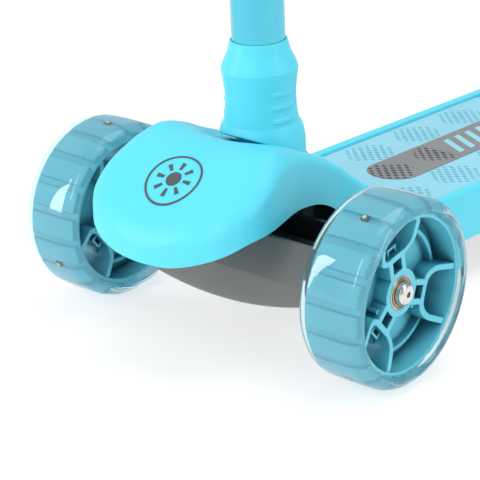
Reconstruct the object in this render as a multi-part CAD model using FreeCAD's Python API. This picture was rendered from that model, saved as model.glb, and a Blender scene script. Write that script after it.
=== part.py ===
import FreeCAD, Part
import math
import os

# Children's three-wheeled kick scooter: two wide front wheels on a truck that steers when the
# deck leans, one rear wheel with a fender brake, a folding stem and a telescopic handlebar.
# Millimetres. +X is the rider's left, +Y the rear, +Z up. The pieces are modelled with y = 0 at
# the front axle and z = 0 on the ground, and write() moves them so that the origin lies under
# the middle of the whole scooter.

# ---- wheels and axles ----
wheelbase = 455.0
track = 230.0                 # between the middles of the front wheels
front_wheel_radius = 60.0
front_wheel_width = 46.0
rear_wheel_radius = 50.0
rear_wheel_width = 44.0
tyre_depth = 10.0             # from the tread down to the core
tyre_shoulder = 10.0          # how far in from the side the tread starts to round
tyre_side_drop = 8.5          # radius lost between tread and the widest place of the side
tyre_crown = 0.4              # rise of the tread in its middle
tyre_corner = (3.0, 2.5)      # where the shoulder is roundest: below the tread, in from the side
rim_wall = 3.6
rim_lip = 2.3                 # the opening is this much smaller in radius than the core
rim_recess = 4.7              # core face behind the tyre's side
hub_radius = 15.0
hub_recess = 11.3             # hub face behind the tyre's side
web_thickness = 4.0
web_rib_radius = 40.0         # arc rib that stands on the web between two spokes
web_rib_width = 2.6
web_rib_height = 5.0
spoke_count = 3
arm_drop = 0.8                # the arms end this far behind the rim's face
spoke_width = 16.0
spoke_wall = 3.8
spoke_reach = 11.8            # from the hub to the cross rib
arm_bend_radius = 10.0        # each arm bends out from the cross rib and on to the rim
arm_bend_from = 98.0          # degrees of that bend, about its centre
arm_bend_to = 190.0
clip_size = (4.5, 9.0)        # catch behind the cross rib, outwards and across
clip_wall = 1.6
clip_drop = 3.0               # the catch is this much lower than the hub, on each face
clip_boss_radius = 1.9
clip_boss_drop = 2.5
left_wheel_turn = 74.0        # where each wheel happens to have stopped, in degrees
right_wheel_turn = 50.0
rear_wheel_turn = 20.0
block_count = 18
block_size = (13.4, 34.0, 2.4)   # round the rim, across it, radially
light_radius = 2.6
light_height = 5.0
light_count = 3
light_turn = 10.0             # degrees from a block's middle to the bulb beyond it
bearing_bore_radius = 4.0
bearing_radius = 11.0
bearing_width = 7.0
axle_clearance = 0.05
axle_radius = bearing_bore_radius - axle_clearance
spacer_radius = 5.6
axle_head_radius = 7.4
axle_head_height = 5.0
axle_socket_radius = 2.0
axle_socket_floor = 1.5       # what stays under the socket
axle_bolt_depth = 24.0        # of the bolt's thread in the beam's end
running_gap = 0.4             # side play between a turning hub and what stands beside it

# ---- steering ----
kingpin_tilt = 45.0           # degrees forward of upright
kingpin_radius = 5.0
kingpin_clearance = 0.05
beam_height = 22.0
beam_depth = 22.0
beam_end = 99.0               # half length of the axle beam
beam_neck = 84.0
beam_neck_radius = 8.5
boss_radius = 15.0
boss_half_length = 12.0
bush_radius = 13.0
bush_length = 13.0
head_boss_length = 16.0
kingpin_nut_height = 6.5
kingpin_nut_radius = 8.5
kingpin_head_radius = 9.0
kingpin_head_height = 5.0
kingpin_washer_thickness = 2.0
truck_half_length = 86.0
truck_top_z = 81.0
truck_belly_z = 31.0
truck_end_z = 47.0
truck_front_y = -31.0
truck_rear_y = 24.0
truck_front_lean = 11.0       # the front face leans back this much
truck_lean_start_z = 58.0     # from here up to the top
truck_wall = 3.0
truck_edge_radius = 12.0
truck_rib_x = 52.0
truck_rib_drop = 12.0         # top of the ribs below the truck's top
truck_pin_relief = 6.0        # room round the kingpin parts in the truck shell

# ---- nose and deck ----
wall = 3.0
nose_front_y = -92.5
seam_y = 108.0                # nose meets deck shell
deck_top_z = 67.5
deck_bottom_z = 32.0
deck_half_width = 67.5
deck_tail_y = 476.0
deck_edge_radius = 3.0
tail_side = 10.0              # width of the deck's tail beside the rear fork
tail_curve = 40.0             # length over which the deck draws in to its tail
tail_corner = (8.0, 12.0)
rim_width = 9.5
pad_drop = 2.0                # pad surface below the rim
pad_thickness = 2.0
pad_end_y = 382.0
pad_corner_radius = 24.0
panel_half_width = 19.5
panel_start_y = 150.0
panel_end_y = 372.0
panel_proud = 0.3
pad_gap = 0.2
floor_thickness = 3.0
floor_gap = 0.3
spine_half_width = 27.0
spine_wall = 2.0
spine_bottom_z = 38.0
spine_top_z = 59.0
spine_front_y = 44.0
spine_rear_y = 398.0
post_radius = 4.5
screw_radius = 1.6
screw_head_radius = 3.4
screw_head_height = 1.6
screw_length = 14.0
deck_screw_places = [(s * x, y) for y, x in ((128, 52), (225, 56), (322, 56), (384, 50)) for s in (1, -1)]
badge_radius = 19.2
badge_y = -61.0
badge_thickness = 0.6
badge_line = 1.5              # width of the ring
sun_radius = 5.2
sun_ray = (7.5, 13.0, 2.2)    # from, to, width
sun_ray_count = 8

# ---- fold ----
fold_y = 46.0                 # fold pin
fold_z = 108.5
fold_pin_radius = 3.0
fold_pin_end = 1.5            # the pin stands this far out of each ear
fold_ear_radius = 6.0
fold_ear_inner = 8.7          # the knuckle's ear reaches this far each side
fold_ear_outer = 14.5
fold_gap = 0.4
head_plate_bottom_z = 88.0
head_plate_top_z = 100.0
head_half_width = 18.0
head_front_y = -20.0
head_rear_y = 54.0
head_column_y = 43.0
fold_base_top_z = 112.0
fold_base_front_y = 2.0
nose_opening_gap = 1.6
nose_hinge_room = 6.0         # opening behind the fold pin, for the stem's foot as it folds

# ---- stem and lock collar ----
rake = 3.5                    # degrees that the stem leans forward
stem_foot_y = 23.3
stem_foot_z = 113.0
tube_radius = 17.0
tube_wall = 1.6
tube_start = 5.0              # along the stem from its foot
tube_length = 352.0
knuckle_radius = 20.0
knuckle_gap = 0.4
plug_length = 30.0
plug_clearance = 0.05
collar_clearance = 0.06
collar_profile = [(78.5, 17.9), (74.0, 19.2), (70.5, 20.0), (66.8, 21.8), (62.8, 23.7), (60.0, 24.3),
                  (57.5, 24.1), (51.0, 23.2), (45.0, 22.6), (38.0, 22.6), (31.5, 23.1), (26.5, 23.9),
                  (23.5, 24.8), (20.5, 26.7), (17.0, 27.3), (-8.0, 27.3)]
collar_room_radius = 20.4     # of the hollow below the neck, round the spring
collar_neck = 52.0            # above this height the bore is a running fit on the tube
collar_foot_front = (2.0, 130.0)     # y, z of two points of the sloping foot
collar_foot_rear = (41.0, 113.0)
collar_foot_gap = 1.2         # between the collar's foot and the nose
collar_rib_heights = (47.0, 38.5, 30.0)
collar_rib_size = (3.4, 11.0)   # high, wide
collar_rib_reach = 25.7       # from the stem's middle
collar_knuckle_room = 3.0     # over the fold ears, in the collar's rear
collar_flange_points = 13     # points of the profile above the flange
spring_wire = 1.2
spring_pitch = 3.2
spring_turns = 6
spring_top_gap = 3.0

# ---- telescopic bar ----
upper_tube_radius = 14.0
upper_tube_wall = 1.5
upper_tube_start = 42.0
upper_tube_top = 540.0
slide_clearance = 0.05
slide_bush_length = 34.0
clamp_radius = 21.0
clamp_length = 34.0
clamp_lip = 4.0
clamp_slot = 3.0
clamp_ear_reach = 33.0
clamp_ear_thickness = 6.0
clamp_ear_height = 18.0
clamp_bolt_radius = 2.5
clamp_bolt_y = 28.0
lever_pivot_x = 14.5
lever_width = 14.0
lever_barrel_radius = 5.0
lever_thickness = 4.0
lever_gap = 0.4
lever_pin_radius = 1.5
lever_stand_off = 2.5         # from the clamp band to the lever's arm
lever_tip_y = -16.0
tee_radius = 17.0
tee_length = 46.0
tee_half_width = 27.0
crossbar_radius = 11.0
crossbar_wall = 1.6
crossbar_half_length = 146.0
grip_length = 112.0
grip_radius = 15.0
grip_flange_radius = 19.5
grip_flange_width = 5.0
grip_ridge_count = 9
grip_ridge_height = 1.2
end_cap_length = 7.0
end_plug_length = 12.0
tube_plug_length = 8.0

# ---- rear fork and brake ----
fork_thickness = 3.0
fork_front_y = 384.0
fork_rear_y = 468.0
fork_top_z = 62.0
fork_hole_radius = 9.0
fork_bottom_z = 40.0
fork_chamfer = 6.0
brake_pin_y = 397.0
brake_pin_z = 66.0
brake_pin_radius = 2.5
brake_ear_radius = 6.5
fender_gap = 5.5
fender_thickness = 3.0
fender_half_width = 26.4
fender_start_angle = 158.0    # seen from the rider's left side, from straight back, upwards
fender_end_angle = 18.0
brake_pad_gap = 3.4
brake_pad_half_angle = 9.0
brake_pad_angle = 80.0
brake_pad_half_width = 12.0
brake_spring_half = 5.4
brake_spring_room = 0.6       # each side of the spring, in the fender's knuckle
brake_knuckle_wall = 2.8      # round the brake pin
axle_nut_height = 5.0
axle_nut_radius = 7.0
axle_end = 2.0                # the rear bolt stands this far out of its nut

fender_reach = (rear_wheel_radius + fender_gap + fender_thickness) * math.cos(math.radians(fender_end_angle))
origin_y = (wheelbase + fender_reach + nose_front_y) / 2

V = FreeCAD.Vector
X, Y, Z = V(1, 0, 0), V(0, 1, 0), V(0, 0, 1)


def box(x0, x1, y0, y1, z0, z1):
    return Part.makeBox(x1 - x0, y1 - y0, z1 - z0, V(x0, y0, z0))


def rod(radius, start, end):
    """A cylinder from one point to another."""
    along = end - start
    return Part.makeCylinder(radius, along.Length, start, along)


def pipe(radius, bore, start, end):
    return rod(radius, start, end).cut(rod(bore, start, end))


def polygon_x(points, x0, x1):
    """A polygon of (y, z) points, extruded along X."""
    loop = [V(x0, y, z) for y, z in points]
    return Part.Face(Part.makePolygon(loop + loop[:1])).extrude(V(x1 - x0, 0, 0))


def turned(profile):
    """A closed outline of (height, radius) points, turned about Z."""
    loop = [V(r, 0, h) for h, r in profile]
    return Part.Face(Part.makePolygon(loop + loop[:1])).revolve(V(0, 0, 0), Z, 360)


def spline(points):
    curve = Part.BSplineCurve()
    curve.interpolate(points)
    return curve.toShape()


def joined(shapes):
    whole = shapes[0].multiFuse(shapes[1:]) if len(shapes) > 1 else shapes[0]
    return whole.removeSplitter()


def group(solids):
    return Part.makeCompound(solids)


def spun(shape, degrees, centre=V(0, 0, 0), axis=Z):
    copy = shape.copy()
    copy.rotate(centre, axis, degrees)
    return copy


def shifted(shape, x=0, y=0, z=0):
    copy = shape.copy()
    copy.translate(V(x, y, z))
    return copy


def write(name, shape):
    os.makedirs("parts", exist_ok=True)
    shifted(shape, y=-origin_y).exportStep(f"parts/{name}.step")


# ---- wheels, made about Z with their middle at the origin ----

def tyre_outline(radius, width):
    """The tyre's section as a face beside the Z axis: crowned tread, round shoulders, slim sides."""
    half, inner = width / 2, radius - tyre_depth
    seat = half - rim_recess
    tread, side, edge = half - tyre_shoulder, radius - tyre_side_drop, radius - tyre_crown
    edges = [Part.LineSegment(V(inner, 0, -seat), V(inner, 0, seat)).toShape()]
    for s in (1, -1):
        top, low = V(edge, 0, s * tread), V(side, 0, s * half)
        shoulder = V(radius - tyre_corner[0], 0, s * (half - tyre_corner[1]))
        edges.append(Part.Arc(top, shoulder, low).toShape())
        edges.append(Part.LineSegment(low, V(inner, 0, s * seat)).toShape())
    crown = Part.Arc(V(edge, 0, -tread), V(radius, 0, 0), V(edge, 0, tread))
    edges.append(crown.toShape())
    return Part.Face(Part.Wire(Part.__sortEdges__(edges)))


def wheel_core(radius, width):
    """Hub, web, three forked spokes and a rim with raised blocks round it."""
    outer = radius - tyre_depth
    inner = outer - rim_wall
    rim_half, hub_half = width / 2 - rim_recess, width / 2 - hub_recess
    rim = Part.makeCylinder(outer, 2 * rim_half, V(0, 0, -rim_half))
    mouth = outer - rim_lip
    rim = rim.cut(turned([(-rim_half, 0), (-rim_half, mouth), (-web_thickness, inner), (web_thickness, inner),
                          (rim_half, mouth), (rim_half, 0)]))
    hub = Part.makeCylinder(hub_radius, 2 * hub_half, V(0, 0, -hub_half))
    web = Part.makeCylinder(inner + 1, web_thickness, V(0, 0, -web_thickness / 2))
    arc_rib = pipe(web_rib_radius, web_rib_radius - web_rib_width, V(0, 0,
                                                                     -web_thickness / 2 - web_rib_height),
                   V(0, 0, web_thickness / 2 + web_rib_height))
    disc = joined([web, arc_rib])
    solids = [rim, hub]
    for n in range(spoke_count):
        turn = 360 / spoke_count * n
        disc = disc.cut(spun(spoke_window(inner, hub_half), turn))
        solids += [spun(piece, turn) for piece in spoke(inner, hub_half, rim_half - arm_drop)]
    around, across, proud = block_size
    for n in range(block_count):
        block = box(outer - 1, outer + proud, -around / 2, around / 2, -across / 2, across / 2)
        solids.append(spun(block, 360 / block_count * n))
    core = joined(solids + [disc])
    return core.cut(bearing_room(width))


def arm_bend(side):
    """Centre of an arm's bend, and the two ends of the bend's middle line."""
    start_x = hub_radius + spoke_reach - spoke_wall / 2
    centre = V(start_x + arm_bend_radius, side * (spoke_width - spoke_wall) / 2, 0)
    ends = []
    for angle in (arm_bend_to, arm_bend_from):
        turn = math.radians(angle)
        ends.append(centre + V(math.cos(turn), side * math.sin(turn), 0) * arm_bend_radius)
    return centre, ends


def spoke(inner, hub_half, arm_half):
    """One spoke along +X: two ribs, a cross rib, and two arms that bend out and rise to the rim."""
    half_w, cross = spoke_width / 2, hub_radius + spoke_reach
    rail = box(hub_radius - 2, cross, -half_w, half_w, -hub_half, hub_half)
    for z0, z1 in ((web_thickness / 2, hub_half), (-hub_half, -web_thickness / 2)):
        rail = rail.cut(box(hub_radius, cross - spoke_wall, spoke_wall - half_w, half_w - spoke_wall, z0, z1))
    rising = turned([(-hub_half, 0), (-hub_half, cross), (-arm_half, inner - 1), (-arm_half, inner + 2),
                     (arm_half, inner + 2), (arm_half, inner - 1), (hub_half, cross), (hub_half, 0)])
    solids = [rail]
    for side in (1, -1):
        centre, (start, end) = arm_bend(side)
        ring = pipe(arm_bend_radius + spoke_wall / 2, arm_bend_radius - spoke_wall / 2,
                    centre - Z * arm_half, centre + Z * arm_half)
        sweep = arm_bend_to - arm_bend_from
        first = arm_bend_from if side > 0 else 360 - arm_bend_to
        sector = Part.makeCylinder(arm_bend_radius + spoke_wall, 2 * arm_half, centre - Z * arm_half, Z,
                                   sweep)
        solids.append(ring.common(spun(sector, first, centre)).common(rising))
        run = box(0, inner - end.x + 1, -spoke_wall / 2, spoke_wall / 2, -arm_half, arm_half)
        solids.append(shifted(spun(run, side * (arm_bend_from - 90)), end.x, end.y).common(rising))
    deep, wide = clip_size
    clip = box(cross - 1, cross + deep, -wide / 2, wide / 2, clip_drop - hub_half, hub_half - clip_drop)
    clip = clip.cut(box(cross, cross + deep - clip_wall, clip_wall - wide / 2, wide / 2 - clip_wall,
                        -hub_half, hub_half))
    solids.append(clip)
    boss_half = hub_half - clip_boss_drop
    for x in (hub_radius + 4, cross - 1):
        solids.append(Part.makeCylinder(clip_boss_radius, 2 * boss_half, V(x, -half_w - 0.8, -boss_half)))
    return solids


def spoke_window(inner, hub_half):
    """The opening through the web between a spoke's arms, outside its cross rib."""
    _, (start, end) = arm_bend(1)
    rise = math.tan(math.radians(arm_bend_from - 90))
    points = [V(start.x, start.y, 0), V(end.x, end.y, 0), V(inner + 2, end.y + rise * (inner + 2 - end.x), 0)]
    loop = points + [V(p.x, -p.y, 0) for p in reversed(points)]
    window = shifted(Part.Face(Part.makePolygon(loop + loop[:1])), z=-hub_half).extrude(V(0, 0, 2 * hub_half))
    return window.common(Part.makeCylinder(inner, 2 * hub_half, V(0, 0, -hub_half)))


def bearing_room(width):
    """What the hub leaves free: a seat for each bearing and a bore for the spacer between them."""
    hub_half = width / 2 - hub_recess
    seat = hub_half - bearing_width
    room = Part.makeCylinder(spacer_radius, 2 * hub_half, V(0, 0, -hub_half))
    seats = [Part.makeCylinder(bearing_radius, bearing_width, V(0, 0, z)) for z in (seat, -hub_half)]
    return room.multiFuse(seats)


def wheel_lights(radius):
    """Three bulbs that stand out of the rim into the tyre."""
    foot = radius - tyre_depth
    bulbs = []
    for n in range(light_count):
        body = rod(light_radius, V(foot, 0, 0), V(foot + light_height - light_radius, 0, 0))
        dome = Part.makeSphere(light_radius, V(foot + light_height - light_radius, 0, 0))
        room = 2 * light_radius
        outside = box(foot, radius, -room, room, -room, room)
        bulb = body.fuse(dome).common(outside).removeSplitter()
        bulbs.append(spun(bulb, 360 / light_count * n + light_turn))
    return bulbs


def wheel_pieces(radius, width):
    core = wheel_core(radius, width)
    bulbs = wheel_lights(radius)
    core = core.cut(group(bulbs))
    tyre = tyre_outline(radius, width).revolve(V(0, 0, 0), Z, 360).cut(group([core] + bulbs))
    hub_half = width / 2 - hub_recess
    bearings = []
    for z in (hub_half - bearing_width, -hub_half):
        bearings.append(pipe(bearing_radius, bearing_bore_radius, V(0, 0, z), V(0, 0, z + bearing_width)))
    spacer = pipe(spacer_radius, bearing_bore_radius, V(0, 0, bearing_width - hub_half),
                  V(0, 0, hub_half - bearing_width))
    return {"core": core, "tyre": tyre, "bearings": group(bearings), "spacer": spacer, "lights": group(bulbs)}


def write_wheel(name, radius, width, turn, x, y):
    for piece, shape in wheel_pieces(radius, width).items():
        placed = spun(spun(shape, turn), 90, axis=Y)
        if x < 0:
            placed = spun(placed, 180, axis=Z)
        write(f"{name}_{piece}", shifted(placed, x, y, radius))


# ---- front truck ----

kingpin_dir = V(0, -math.sin(math.radians(kingpin_tilt)), math.cos(math.radians(kingpin_tilt)))
steer_centre = V(0, 0, front_wheel_radius)


def on_kingpin(distance):
    return steer_centre + kingpin_dir * distance


def along_kingpin(radius, start, end):
    return rod(radius, on_kingpin(start), on_kingpin(end))


def axle_beam():
    mid = front_wheel_radius
    boss = along_kingpin(boss_radius, -boss_half_length, boss_half_length)
    body = joined([axle_beam_envelope(), boss])
    body = body.cut(along_kingpin(kingpin_radius + kingpin_clearance, -40, 40))
    bush_room = bush_radius + running_gap
    body = body.cut(group([along_kingpin(bush_room, s * boss_half_length, s * 40) for s in (1, -1)]))
    return body.cut(rod(axle_radius, V(-beam_end, 0, mid), V(axle_bolt_depth - beam_neck, 0, mid))).cut(
        rod(axle_radius, V(beam_neck - axle_bolt_depth, 0, mid), V(beam_end, 0, mid)))


def truck_solid(inset):
    """A boat-shaped block as long as the truck, smaller by inset on every side but the top."""
    half, low, end = truck_half_length - inset, truck_belly_z + inset, truck_end_z + inset
    corners = [V(-half, 0, truck_top_z), V(-half, 0, end), V(half, 0, end), V(half, 0, truck_top_z)]
    edges = [Part.LineSegment(corners[0], corners[1]).toShape(),
             Part.Arc(corners[1], V(0, 0, low), corners[2]).toShape(),
             Part.LineSegment(corners[2], corners[3]).toShape(),
             Part.LineSegment(corners[3], corners[0]).toShape()]
    long_view = Part.Face(Part.Wire(edges))
    y0, y1 = truck_front_y + inset, truck_rear_y - inset
    block = shifted(long_view, y=y0).extrude(V(0, y1 - y0, 0))
    low_edges = [e for e in block.Edges if e.BoundBox.XLength > half and e.CenterOfMass.z < truck_top_z - 5]
    block = block.makeFillet(truck_edge_radius - inset, low_edges)
    over = [(y0, truck_lean_start_z), (y0 + truck_front_lean, truck_top_z), (y0 + truck_front_lean,
                                                                             truck_top_z + 1),
            (y0 - 1, truck_top_z + 1), (y0 - 1, truck_lean_start_z)]
    return block.cut(polygon_x(over, -half - 1, half + 1))


def truck_shell():
    shell = truck_solid(0).cut(truck_solid(truck_wall))
    relief = [along_kingpin(bush_radius + truck_pin_relief, boss_half_length, 60),
              along_kingpin(bush_radius + truck_pin_relief, -60, -boss_half_length)]
    shell = shell.cut(group(relief)).cut(axle_beam_envelope())
    return max(shell.Solids, key=lambda s: s.Volume)


def axle_beam_envelope():
    half_h, half_d, mid = beam_height / 2, beam_depth / 2, front_wheel_radius
    beam = box(-beam_neck, beam_neck, -half_d, half_d, mid - half_h, mid + half_h)
    return beam.fuse(rod(beam_neck_radius, V(-beam_end, 0, mid), V(beam_end, 0, mid)))


def truck_ribs():
    """Two plates inside the shell that seat it on the axle beam."""
    plates = []
    inner = truck_solid(truck_wall)
    half = truck_wall / 2
    for x in (-truck_rib_x, truck_rib_x):
        plate = box(x - half, x + half, truck_front_y, truck_rear_y, 0,
                    truck_top_z - truck_rib_drop).common(inner)
        plates.append(plate.cut(axle_beam_envelope()))
    return plates


def axle_bolt():
    """Left-hand axle bolt: shank from the beam to the wheel's outer bearing, button head with a socket."""
    hub_face = track / 2 + front_wheel_width / 2 - hub_recess
    mid = front_wheel_radius
    head_x = hub_face + running_gap
    shank = rod(axle_radius, V(beam_neck - axle_bolt_depth, 0, mid), V(head_x, 0, mid))
    head = rod(axle_head_radius, V(head_x, 0, mid), V(head_x + axle_head_height, 0, mid))
    rim = [e for e in head.Edges if abs(e.CenterOfMass.x - head_x - axle_head_height) < 0.01 and e.Closed]
    head = head.makeFillet(min(axle_head_height, axle_head_radius) * 0.6, rim[:1])
    corners = [math.radians(60 * k) for k in range(7)]
    socket = Part.Face(Part.makePolygon([V(head_x + axle_socket_floor, axle_socket_radius * math.cos(a),
                                           mid + axle_socket_radius * math.sin(a)) for a in corners]))
    return joined([shank, head]).cut(socket.extrude(V(axle_head_height, 0, 0)))


def write_front_truck():
    write("axle_beam", axle_beam())
    write("truck_shell", joined([truck_shell()] + truck_ribs()))
    hub_back = track / 2 - front_wheel_width / 2 + hub_recess
    bolt = axle_bolt()
    washer = pipe(spacer_radius, axle_radius, V(beam_end, 0, front_wheel_radius),
                  V(hub_back - running_gap, 0, front_wheel_radius))
    write("front_axle_bolts", group([spun(bolt, turn) for turn in (0, 180)]))
    write("front_axle_washers", group([spun(washer, turn) for turn in (0, 180)]))
    pin_room = kingpin_radius + kingpin_clearance
    bushes = []
    for s in (1, -1):
        start = boss_half_length * s
        bushes.append(along_kingpin(bush_radius, start, start + s * bush_length).cut(
            along_kingpin(pin_room, start, start + s * bush_length)))
    write("steering_bushes", group(bushes))


def write_kingpin():
    top = boss_half_length + bush_length + fold_gap + head_boss_length
    low = boss_half_length + bush_length + fold_gap
    under = -low - kingpin_washer_thickness
    pin = along_kingpin(kingpin_radius, under - kingpin_nut_height, top)
    head = along_kingpin(kingpin_head_radius, top, top + kingpin_head_height)
    write("kingpin", joined([pin, head]))
    washer = along_kingpin(bush_radius - 1, under, -low).cut(along_kingpin(kingpin_radius, under, -low))
    write("kingpin_washer", washer)
    nut = along_kingpin(kingpin_nut_radius, under - kingpin_nut_height, under)
    write("kingpin_nut", nut.cut(along_kingpin(kingpin_radius, under - kingpin_nut_height, under)))


# ---- head frame, fold base ----

def head_frame():
    """Cast frame: a plate over the truck with the kingpin boss, and a column down to the spine."""
    plate = box(-head_half_width, head_half_width, head_front_y, head_rear_y, head_plate_bottom_z,
                head_plate_top_z)
    column = box(-head_half_width, head_half_width, head_column_y, head_rear_y, spine_bottom_z,
                 head_plate_top_z)
    start = boss_half_length + bush_length + fold_gap
    boss = along_kingpin(boss_radius, start, start + head_boss_length)
    gusset = polygon_x([(head_front_y, head_plate_top_z), (on_kingpin(start + 8).y, on_kingpin(start + 8).z),
                        (head_front_y + 8, head_plate_bottom_z), (head_front_y + 8, head_plate_top_z)],
                       -boss_radius * 0.7, boss_radius * 0.7)
    body = joined([plate, column, boss, gusset])
    return body.cut(along_kingpin(kingpin_radius, 0, 80)).cut(
        along_kingpin(kingpin_head_radius + 0.2, start + head_boss_length, 90))


def fold_base():
    """Bracket on the head frame that the stem stands on, with two ears for the fold pin."""
    block = box(-fold_ear_outer, fold_ear_outer, fold_base_front_y, fold_y, head_plate_top_z, fold_base_top_z)
    ears = rod(fold_ear_radius, V(-fold_ear_outer, fold_y, fold_z), V(fold_ear_outer, fold_y, fold_z))
    foot = box(-fold_ear_outer, fold_ear_outer, fold_y, fold_y + fold_ear_radius, head_plate_top_z, fold_z)
    body = joined([block, ears, foot])
    room = fold_ear_inner + fold_gap
    body = body.cut(rod(fold_ear_radius + fold_gap, V(-room, fold_y, fold_z), V(room, fold_y, fold_z)))
    body = body.cut(box(-room, room, fold_y, fold_y + 20, fold_z, fold_z + 20))
    return body.cut(rod(fold_pin_radius, V(-40, fold_y, fold_z), V(40, fold_y, fold_z)))


def write_fold():
    write("head_frame", head_frame())
    write("fold_base", fold_base())
    half = fold_ear_outer + fold_pin_end
    write("fold_pin", rod(fold_pin_radius, V(-half, fold_y, fold_z), V(half, fold_y, fold_z)))


# ---- nose and deck ----

# half widths of the nose by y, and heights of its lower edge by y
nose_outline = [(nose_front_y, 8.0), (-91.0, 20.0), (-86.5, 38.0), (-77.0, 53.4), (-61.0, 61.0), (-45.0,
                                                                                                  61.5),
                (-25.0, 57.0), (0.0, 51.0), (25.0, 49.0), (45.0, 50.5), (65.0, 57.0), (85.0, 64.0),
                (100.0, 67.0), (seam_y, deck_half_width)]
nose_lower_edge = [(-100.0, 75.0), (-91.5, 75.5), (-86.5, 80.5), (-77.0, 87.0), (-61.0, 93.0), (-30.0, 95.0),
                   (-10.0, 96.0), (5.0, 95.0), (20.0, 92.5), (35.0, 86.0), (45.0, 77.0), (60.0, 52.0),
                   (72.0, 38.0), (86.0, deck_bottom_z)]
# heights of the nose's top by y: on its ridge line, at the start of its shoulder, and at its side
nose_top = [(nose_front_y, 85.0, 84.0, 82.0), (-91.0, 89.5, 88.5, 85.5), (-87.0, 96.0, 95.0, 90.5),
            (-77.0, 107.0, 107.5, 103.5), (-61.0, 119.5, 119.5, 113.0), (-45.0, 129.5, 129.5, 121.0),
            (-30.0, 136.5, 137.0, 127.0), (-18.0, 136.5, 138.5, 129.0), (-5.0, 131.0, 134.5, 128.0),
            (5.0, 126.5, 130.5, 125.5), (14.0, 122.0, 127.0, 123.5), (23.0, 117.5, 123.0, 120.5),
            (33.0, 113.0, 118.0, 116.0), (44.0, 108.0, 111.5, 110.0), (56.0, 100.5, 102.0, 101.0),
            (75.0, 87.0, 88.0, 87.5), (92.0, 75.0, 75.5, 75.5), (seam_y, 68.0, 68.0, 67.5)]
nose_shoulder_share = 0.8     # of the half width, where the shoulder starts
nose_shoulder_radius = 8.0
nose_saddle_share = 0.2       # of the rise from ridge to shoulder, half way out
nose_section_foot = 20.0      # the block that the nose is cut from goes down to here
nose_ridge = [(y, ridge) for y, ridge, _, _ in nose_top]


def height_at(points, y):
    """Straight-line reading of a list of (y, value) points."""
    for (y0, v0), (y1, v1) in zip(points, points[1:]):
        if y <= y1:
            return v0 + (v1 - v0) * (y - y0) / (y1 - y0)
    return points[-1][1]


def nose_section(y, half, ridge, start, side):
    """One upright section across the nose: crowned top, round shoulders, straight sides."""
    share = nose_shoulder_share
    radius = min(nose_shoulder_radius, half * (1 - share) * 0.8)
    slope = (side - start) / (half * (1 - share))
    meet = math.pi / 2 + math.atan(slope)
    meet_x = half - radius + radius * math.cos(meet)
    middle_z = start + slope * (meet_x - half * share) - radius * math.sin(meet)
    right = [V(half * share * 0.5, y, ridge + (start - ridge) * nose_saddle_share), V(half * share, y, start)]
    for part in (1, 2 / 3, 1 / 3, 0):
        angle = meet * part
        right.append(V(half - radius + radius * math.cos(angle), y, middle_z + radius * math.sin(angle)))
    left = [V(-p.x, p.y, p.z) for p in reversed(right)]
    crown = spline(left + [V(0, y, ridge)] + right)
    corners = [right[-1], V(half, y, nose_section_foot), V(-half, y, nose_section_foot), left[0]]
    loop = [crown] + [Part.LineSegment(a, b).toShape() for a, b in zip(corners, corners[1:])]
    return Part.Wire(loop)


def nose_block(inset):
    """The nose as one block, smaller by inset at the top, the sides and the front."""
    sections = []
    for y, ridge, start, side in nose_top:
        half = height_at(nose_outline, y) - inset
        along = y + inset * (y < -80)
        sections.append(nose_section(along, half, ridge - inset, start - inset, side - inset))
    return Part.makeLoft(sections, True, False)


def nose_cover():
    shell = nose_block(0).cut(nose_block(wall))
    below = [V(-100, y, z) for y, z in nose_lower_edge]
    curve = spline(below)
    corners = [below[-1], V(-100, seam_y + 9, deck_bottom_z), V(-100, seam_y + 9, 0), V(-100, -100, 0),
               below[0]]
    edges = [curve] + [Part.LineSegment(a, b).toShape() for a, b in zip(corners, corners[1:])]
    shell = shell.cut(Part.Face(Part.Wire(edges)).extrude(V(200, 0, 0)))
    half = fold_ear_outer + nose_opening_gap
    hinge_room = box(-half, half, fold_y, fold_y + fold_ear_radius + nose_hinge_room, 60, 150)
    foot_room = on_stem(Part.makeCylinder(knuckle_radius + nose_opening_gap, 90, V(0, 0, -40)))
    base_room = box(-half, half, fold_base_front_y - nose_opening_gap, fold_y, 60, 150)
    frame_room = box(-head_half_width - 1, head_half_width + 1, head_front_y - 2, head_rear_y + 1, 60,
                     head_plate_top_z + 0.4)
    shell = shell.cut(hinge_room).cut(foot_room).cut(base_room).cut(frame_room).cut(collar_seat())
    return max(shell.Solids, key=lambda s: s.Volume)


def above_foot(drop):
    """Everything above the collar's sloping foot, which is lowered by drop."""
    (y0, z0), (y1, z1) = collar_foot_front, collar_foot_rear
    slope = (z1 - z0) / (y1 - y0)
    low = [(y, z0 + slope * (y - y0) - drop) for y in (-90, 150)]
    return polygon_x(low + [(150, 400), (-90, 400)], -90, 90)


def collar_seat():
    """Shallow seat that keeps the nose clear of the lock collar's foot."""
    room = on_stem(Part.makeCylinder(collar_profile[-1][1] + nose_opening_gap, 90, V(0, 0, -40)))
    return room.common(above_foot(collar_foot_gap))


def badge():
    """A thin ring with a plain sun in it, laid in the nose's front slope."""
    slope = math.atan2(height_at(nose_ridge, badge_y + 8) - height_at(nose_ridge, badge_y - 8), 16)
    ring = pipe(badge_radius, badge_radius - badge_line, V(0, 0, -4), V(0, 0, 4))
    near, far, wide = sun_ray
    marks = [ring, Part.makeCylinder(sun_radius, 8, V(0, 0, -4))]
    for n in range(sun_ray_count):
        marks.append(spun(box(near, far, -wide / 2, wide / 2, -4, 4), 360 / sun_ray_count * n))
    placed = []
    for mark in marks:
        copy = spun(mark, math.degrees(slope), axis=X)
        placed.append(shifted(copy, y=badge_y, z=height_at(nose_ridge, badge_y)))
    raised, under = nose_block(-badge_thickness), nose_block(0)
    return group([p.common(raised).cut(under).Solids[0] for p in placed])


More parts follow.
